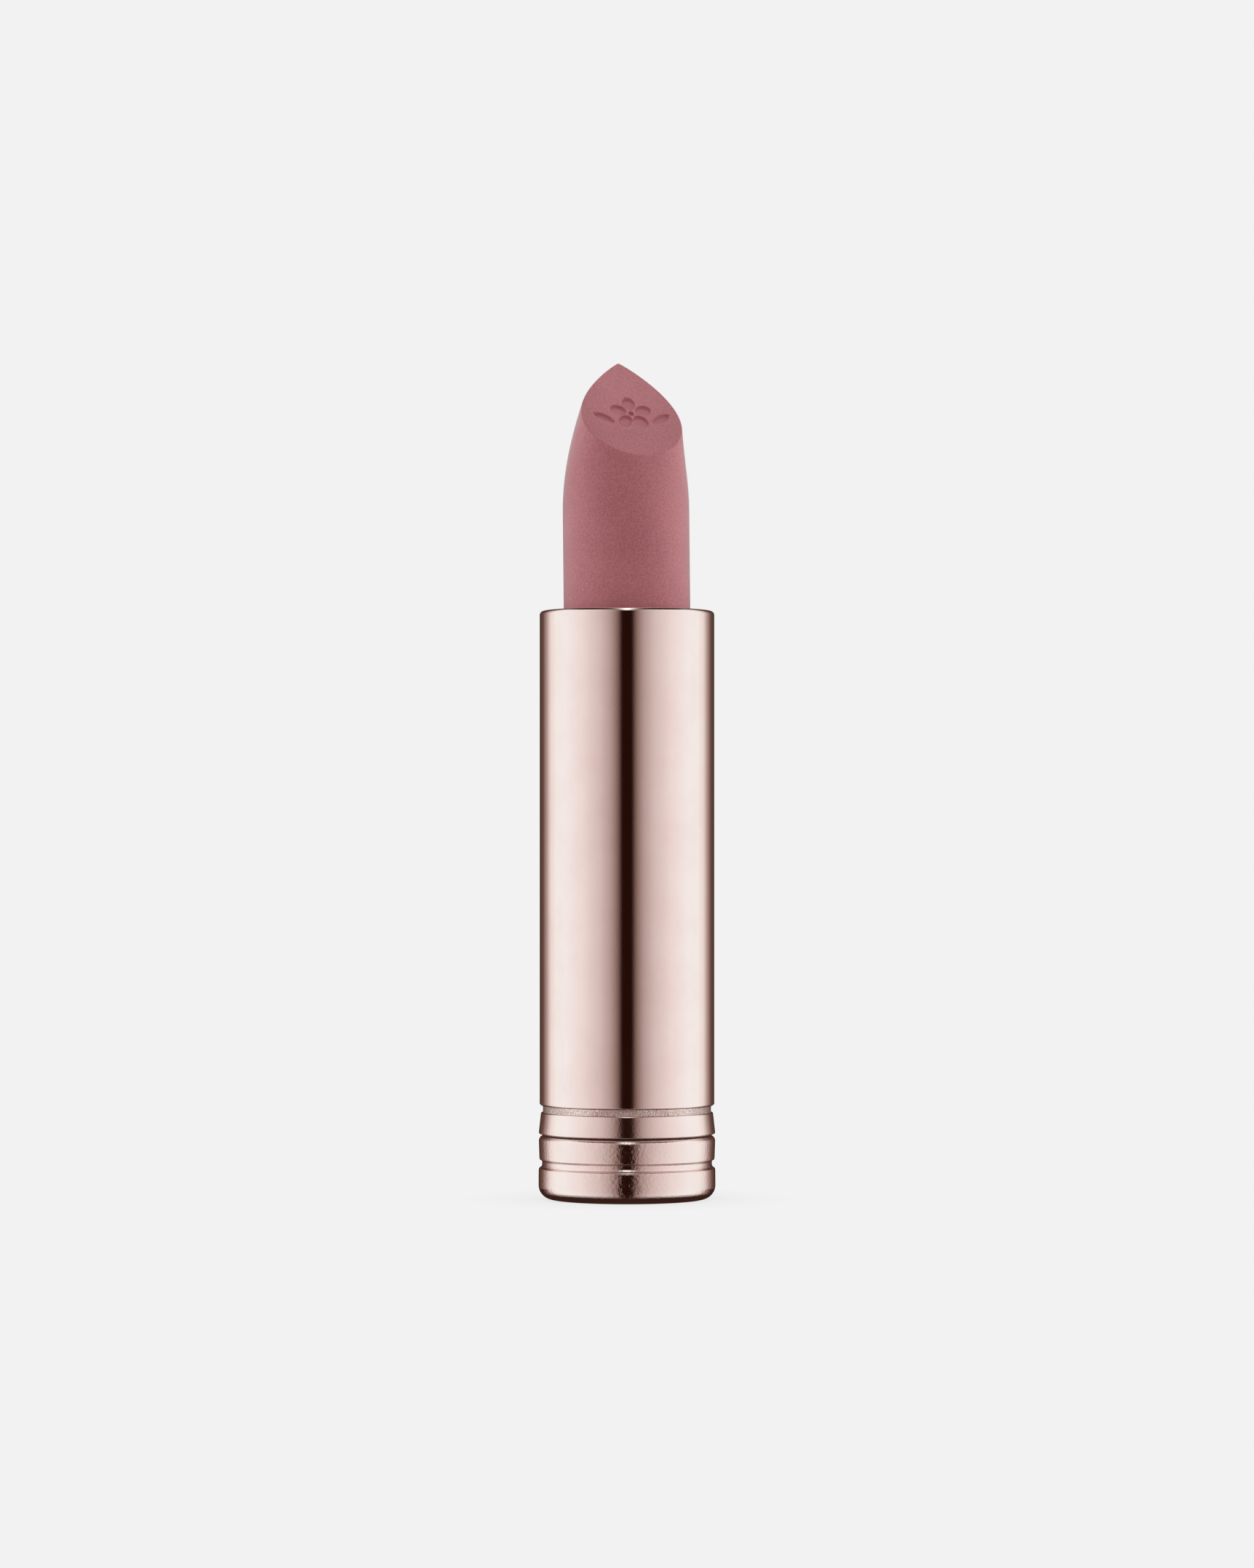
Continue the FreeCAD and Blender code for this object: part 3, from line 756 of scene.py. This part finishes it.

# %% [markdown]
# ## Pomade
#
# Lipstick is pigment in wax. It is matte with a faint sheen, light goes a little way into it, and
# its moulded skin has a grain like very fine leather. A little subsurface scattering softens the
# pressed mark, whose recess is painted a shade darker as painted shade, and the grain drives
# both the bump and a slight change of tone.

# %% Bullet finish
POMADE_DEEP = (0.50, 0.153, 0.172)
POMADE_LIGHT = (0.66, 0.222, 0.248)
# Painted shade: the pressed recess gets a slightly darker colour than the skin around it.
POMADE_RECESS_SHADE = (0.57, 0.185, 0.208)
pomade, pomade_tree, pomade_shader = new_material("pomade_matte")
set_values(pomade_shader, Specular_IOR_Level=0.65, Sheen_Weight=1.0, Sheen_Roughness=0.42,
           Subsurface_Weight=0.12, Subsurface_Scale=0.0006)
pomade_shader.inputs["Subsurface Radius"].default_value = (1.0, 0.45, 0.4)
pomade_shader.inputs["Sheen Tint"].default_value = (1.0, 0.93, 0.96, 1)
skin = group_node(pomade_tree, "fine_grain", Grains_per_metre=5200.0, Patches_per_metre=180.0)
recess_shade_share = add_node(pomade_tree, "ShaderNodeAttribute", attribute_name="pressed")
skin_colour = colour_between(pomade_tree, skin["Tone"], POMADE_DEEP, POMADE_LIGHT)
# Painted shade: the depth of the mark mixes the skin colour towards the darker recess colour.
pomade_colour = colour_between(pomade_tree, recess_shade_share.outputs["Fac"], skin_colour,
                               POMADE_RECESS_SHADE)
drive(pomade_tree, pomade_shader, pomade_colour, between(pomade_tree, skin["Tone"], 0.62, 0.5),
      skin["Height"], 0.012)
finish_piece(pomade, bullet_skin)

# %% [markdown]
# ## The working parts inside
#
# The cup, the guide tube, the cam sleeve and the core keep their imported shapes, because those are
# right already. They show only from above and in the neck, but each still gets the finish of its
# own stuff: metallised plastic, natural moulded plastic, black plastic, rubber, plated steel and
# a satin film for the label.

# %% Inner finishes
natural = grained("natural_plastic", ((0.74, 0.71, 0.66), (0.84, 0.82, 0.78)), (0.50, 0.34), 0.004)
finish_piece(natural, nodes["guide_tube"], nodes["cam_sleeve"])
black = grained("black_plastic", ((0.03, 0.028, 0.028), (0.06, 0.055, 0.055)), (0.53, 0.37), 0.004)
finish_piece(black, nodes["base_insert"])
rubber = grained("brake_rubber", ((0.02, 0.02, 0.02), (0.045, 0.043, 0.042)), (0.68, 0.52), 0.006)
finish_piece(rubber, nodes["brake_o_ring"])
cup_metal = grained("metallised_cup", ((0.80, 0.58, 0.51), (0.90, 0.69, 0.62)), (0.32, 0.16),
                    0.0015, Metallic=1.0)
finish_piece(cup_metal, nodes["carrier_cup"])
film = grained("satin_film", ((0.74, 0.71, 0.69), (0.82, 0.80, 0.78)), (0.48, 0.32), 0.002,
               grains=4000.0, Coat_Weight=0.2)
finish_piece(film, nodes["foot_label"])
plated = marked_metal("plated_steel", ((0.60, 0.60, 0.62), (0.48, 0.48, 0.49)), (0.3, 0.42), 0.003,
                      Rings_per_metre=4000.0, Ring_share=1.0)
finish_piece(plated, nodes["base_weight"])
print("materials", len(bpy.data.materials))

# %% [markdown]
# ## Studio light
#
# Polished metal shows the room and not itself, so the light is designed as what the sleeve should
# mirror. A tent of soft panels wraps both sides, from well below the object to well above it.
# Straight ahead, where the camera is, there is a narrow dark gap, and it becomes the dark stripe
# down the middle. Behind, the tent is open and dark, which draws the dark edges. A narrow strip
# lamp runs overhead from front to back and makes the bright spots on the rounded rings. Area
# lights could do this, but the fade from gap to panel is easier to state as a world: brightness
# as a function of direction.

# %% Light tent
world = bpy.data.worlds.new("light_tent")
bpy.context.scene.world = world
world.use_nodes = True
sky = world.node_tree
sky.nodes.clear()
PALE = 0.8879
HALF_TURN = 180.0
SIDE_LIGHT = [
    (7, (0.018, 0.004, 0.002)),
    (13, (0.26, 0.18, 0.16)),
    (22, (0.50, 0.415, 0.405)),
    (36, (0.72, 0.655, 0.65)),
    (61, (0.94, 0.915, 0.92)),
    (88, (1.0, 1.09, 1.13)),
    (108, (1.0, 1.08, 1.09)),
    (121, (0.90, 0.88, 0.87)),
    (132, (0.46, 0.37, 0.35)),
    (145, (0.15, 0.085, 0.07)),
    (165, (0.07, 0.034, 0.026)),
]
SHADE = (0.04, 0.017, 0.012)
LAMP = (1.28, 1.31, 1.30)
LAMP_START = 0.24
LAMP_FULL = 0.62
LAMP_HALF_WIDTH = 0.40
LAMP_FOCUS = 4.0
PANEL_TOP = 0.66
PANEL_END = 0.82
facing = add_node(sky, "ShaderNodeTexCoord").outputs["Generated"]
parts = add_node(sky, "ShaderNodeSeparateXYZ", {"Vector": facing}).outputs
towards_camera = math_node(sky, "MULTIPLY", parts["Y"], -1.0)
turned = math_node(sky, "ABSOLUTE", math_node(sky, "ARCTAN2", parts["X"], towards_camera))
side_share = math_node(sky, "DIVIDE", turned, math.pi)
side_ramp = add_node(sky, "ShaderNodeValToRGB", {"Fac": side_share})
stops = side_ramp.color_ramp.elements
while len(stops) < len(SIDE_LIGHT):
    stops.new(0.5)
for stop, (degrees, tint) in zip(stops, SIDE_LIGHT):
    stop.position = degrees / HALF_TURN
    stop.color = (*tint, 1)


def faded(source, start, end):
    """Goes smoothly from 0 to 1 as the source goes from start to end."""
    return add_node(sky, "ShaderNodeMapRange", {"Value": source, "From Min": start,
                                                "From Max": end},
                    interpolation_type="SMOOTHSTEP").outputs[0]


panels = colour_between(sky, faded(parts["Z"], PANEL_TOP, PANEL_END),
                        side_ramp.outputs["Color"], SHADE)
off_middle = math_node(sky, "ABSOLUTE", parts["X"])
narrow = math_node(sky, "POWER", faded(off_middle, LAMP_HALF_WIDTH, 0.0), LAMP_FOCUS)
lamp_share = math_node(sky, "MULTIPLY", narrow, faded(parts["Z"], LAMP_START, LAMP_FULL))
tent = colour_between(sky, lamp_share, panels, LAMP)
seen = add_node(sky, "ShaderNodeLightPath").outputs["Is Camera Ray"]
backdrop = colour_between(sky, seen, tent, (PALE, PALE, PALE))
background = add_node(sky, "ShaderNodeBackground", {"Color": backdrop, "Strength": 1.0})
sky_output = sky.nodes.new("ShaderNodeOutputWorld")
sky.links.new(background.outputs[0], sky_output.inputs["Surface"])

# %% [markdown]
# The slanted face of the bullet looks up, past the panels. A spot lamp straight above opens it up
# and throws the small shadows in its mark. Its beam is only as wide as the bullet, as with a
# snoot, so it puts no bright line on the rim of the sleeve. Two soft lamps from the sides bring
# out the velvet of the matte skin. The metal does not mirror them. All these lengths are in
# metres, like the scene, but the reach of the beam is in millimetres, like the bullet.

# %% Spot on the bullet
SPOT_HEIGHT = 0.48
SPOT_WATTS = 1.0
SPOT_RADIUS = 0.004
SPOT_REACH = 6.6
SPOT_BLEND = 0.1
spot = bpy.data.lights.new("bullet_spot", "SPOT")
spot.energy = SPOT_WATTS
spot.shadow_soft_size = SPOT_RADIUS
spot.spot_size = 2 * math.atan(SPOT_REACH * MM / (SPOT_HEIGHT - BULLET_TOP * MM))
spot.spot_blend = SPOT_BLEND
spot_lamp = add_to_scene("bullet_spot", spot)
spot_lamp.location = (0, 0, SPOT_HEIGHT)

# %% Soft lamps at the sides
SIDE_DISTANCE = 0.30
SIDE_HEIGHT = 0.09
SIDE_SIZE = 0.12
SIDE_LAMPS = {"left_lamp": (-105, 0.20), "right_lamp": (105, 0.28)}
for lamp_name, (degrees, watts) in SIDE_LAMPS.items():
    side = bpy.data.lights.new(lamp_name, "AREA")
    side.energy = watts
    side.size = SIDE_SIZE
    side_lamp = add_to_scene(lamp_name, side)
    turn_round = math.radians(degrees)
    side_lamp.location = (SIDE_DISTANCE * math.sin(turn_round),
                          -SIDE_DISTANCE * math.cos(turn_round), SIDE_HEIGHT)
    side_lamp.rotation_euler = (math.pi / 2, 0, turn_round)
    side_lamp.visible_glossy = False

# %% [markdown]
# ## Floor
#
# The floor is a plain pale sheet. It has the same tone as the backdrop, so no horizon shows, and
# a painted contact shadow darkens it a little where the foot stands close over it. Mirrored in the
# metal it would cut the panels off, so reflections look through it and see the tent go on below.
# Only a dark glowing patch round the foot, a painted shadow, stays in them, and it darkens the
# undersides of the bands. The further a reflected ray has come, the smaller the patch is. Its
# sizes are in metres.

# %% Pale floor
FLOOR_HALF = 3.0
FLOOR_BOUNCE = 0.8
CONTACT_REACH = 0.009
PAINTED_SHADOW_TONE = 0.76
PATCH_FULL = 0.0084
PATCH_END = 0.0092
PATCH_SPREAD = 0.0032
NEAR_RAY = 0.002
FAR_RAY = 0.006
floor_mesh = bpy.data.meshes.new("floor")
floor_corners = [(-FLOOR_HALF, -FLOOR_HALF, 0), (FLOOR_HALF, -FLOOR_HALF, 0),
                 (FLOOR_HALF, FLOOR_HALF, 0), (-FLOOR_HALF, FLOOR_HALF, 0)]
floor_mesh.from_pydata(floor_corners, [], [(0, 1, 2, 3)])
floor = add_to_scene("floor", floor_mesh)

paper = bpy.data.materials.new("pale_floor")
paper.use_nodes = True
sheet = paper.node_tree
sheet.nodes.clear()
# Painted contact shadow: ambient occlusion dims the glowing floor near the foot.
openness = add_node(sheet, "ShaderNodeAmbientOcclusion", {"Distance": CONTACT_REACH}, samples=8)
painted_contact_shadow = between(sheet, openness.outputs["AO"], PAINTED_SHADOW_TONE, PALE)
rays = add_node(sheet, "ShaderNodeLightPath").outputs
plain = add_node(sheet, "ShaderNodeEmission", {"Strength": painted_contact_shadow})
bounce = (FLOOR_BOUNCE, FLOOR_BOUNCE, FLOOR_BOUNCE, 1)
lit = add_node(sheet, "ShaderNodeBsdfDiffuse", {"Color": bounce})
see_through = add_node(sheet, "ShaderNodeBsdfTransparent")
# Painted shadow: a dark glowing patch round the foot that only reflections see.
painted_patch_shadow = add_node(sheet, "ShaderNodeEmission", {"Color": (*SHADE, 1)})
floor_place = add_node(sheet, "ShaderNodeTexCoord").outputs["Object"]
from_axis = add_node(sheet, "ShaderNodeVectorMath", {0: floor_place}, operation="LENGTH")
spread = add_node(sheet, "ShaderNodeMapRange", {"Value": rays["Ray Length"],
                                                "From Min": NEAR_RAY, "From Max": FAR_RAY,
                                                "To Max": PATCH_SPREAD}).outputs[0]
from_patch = math_node(sheet, "SUBTRACT", from_axis.outputs["Value"], spread)
outside = add_node(sheet, "ShaderNodeMapRange", {"Value": from_patch,
                                                 "From Min": PATCH_FULL,
                                                 "From Max": PATCH_END}).outputs[0]
mirrored = add_node(sheet, "ShaderNodeMixShader", {0: outside, 1: painted_patch_shadow.outputs[0],
                                                   2: see_through.outputs[0]})
for_light = add_node(sheet, "ShaderNodeMixShader", {0: rays["Is Glossy Ray"], 1: lit.outputs[0],
                                                    2: mirrored.outputs[0]})
for_all = add_node(sheet, "ShaderNodeMixShader", {0: rays["Is Camera Ray"],
                                                  1: for_light.outputs[0], 2: plain.outputs[0]})
sheet_output = sheet.nodes.new("ShaderNodeOutputMaterial")
sheet.links.new(for_all.outputs[0], sheet_output.inputs["Surface"])
floor_mesh.materials.append(paper)

# %% [markdown]
# ## Camera
#
# The camera stands level, a little under half a metre away and lower than the middle of the
# object, so the rim is seen from below and the base bands from above. A small upward shift frames
# the object in the middle without tilting its upright edges. Distances are in millimetres.

# %% Camera
CAMERA_DISTANCE = 456.0
CAMERA_HEIGHT = 33.35
FOCAL_LENGTH = 109.45
UPWARD_SHIFT = 0.0422

lens = bpy.data.cameras.new("camera")
lens.lens = FOCAL_LENGTH
lens.shift_y = UPWARD_SHIFT
lens.clip_start = 0.01
camera = add_to_scene("camera", lens)
camera.location = (0, -CAMERA_DISTANCE * MM, CAMERA_HEIGHT * MM)
camera.rotation_euler = (math.pi / 2, 0, 0)
bpy.context.scene.camera = camera
bpy.context.scene.view_settings.view_transform = "Standard"
